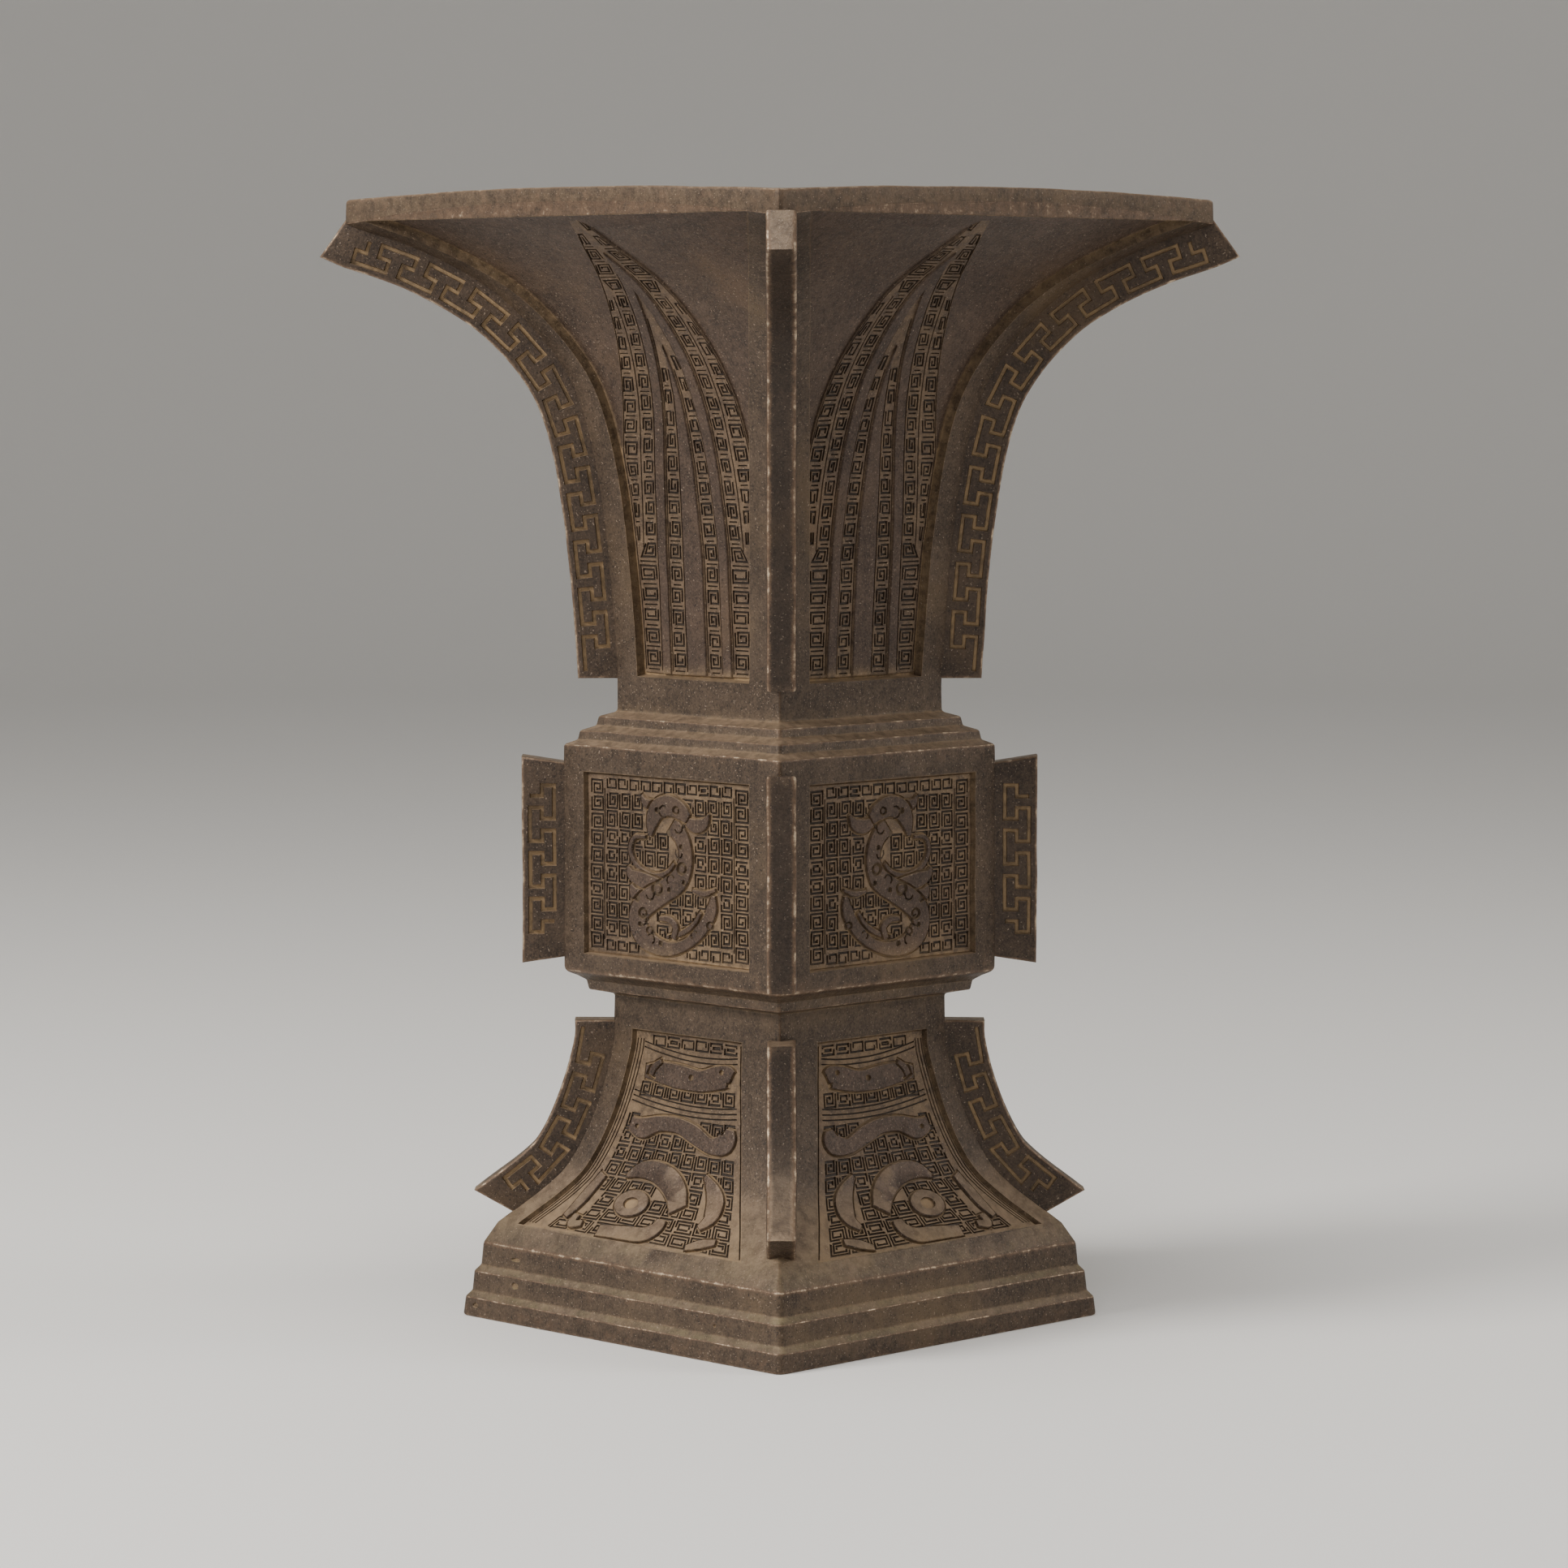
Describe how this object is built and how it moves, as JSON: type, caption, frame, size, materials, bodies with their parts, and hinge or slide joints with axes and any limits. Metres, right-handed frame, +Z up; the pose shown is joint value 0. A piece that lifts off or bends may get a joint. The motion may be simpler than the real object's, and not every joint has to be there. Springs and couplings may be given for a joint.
{
  "type": "bronze fanggu vase",
  "caption": "Square bronze beaker vase (fanggu) with a flaring mouth, square bulb, flared stepped foot, fretted corner flanges and low relief of blades, dragons and masks.",
  "frame": {"origin": "centre of the underside of the square plinth, on the vase's axis", "axes": "+Z up along the axis of the vase, from the plinth to the mouth; the four walls face -Y, +X, +Y and -X, and the flanges stand on the diagonals"},
  "size_m": [0.1681, 0.1674, 0.2814],
  "materials": {
    "bronze": "dark brown patinated bronze, satin"
  },
  "bodies": {
    "root": {"fanggu_vase": "bronze"}
  },
  "joints": []
}
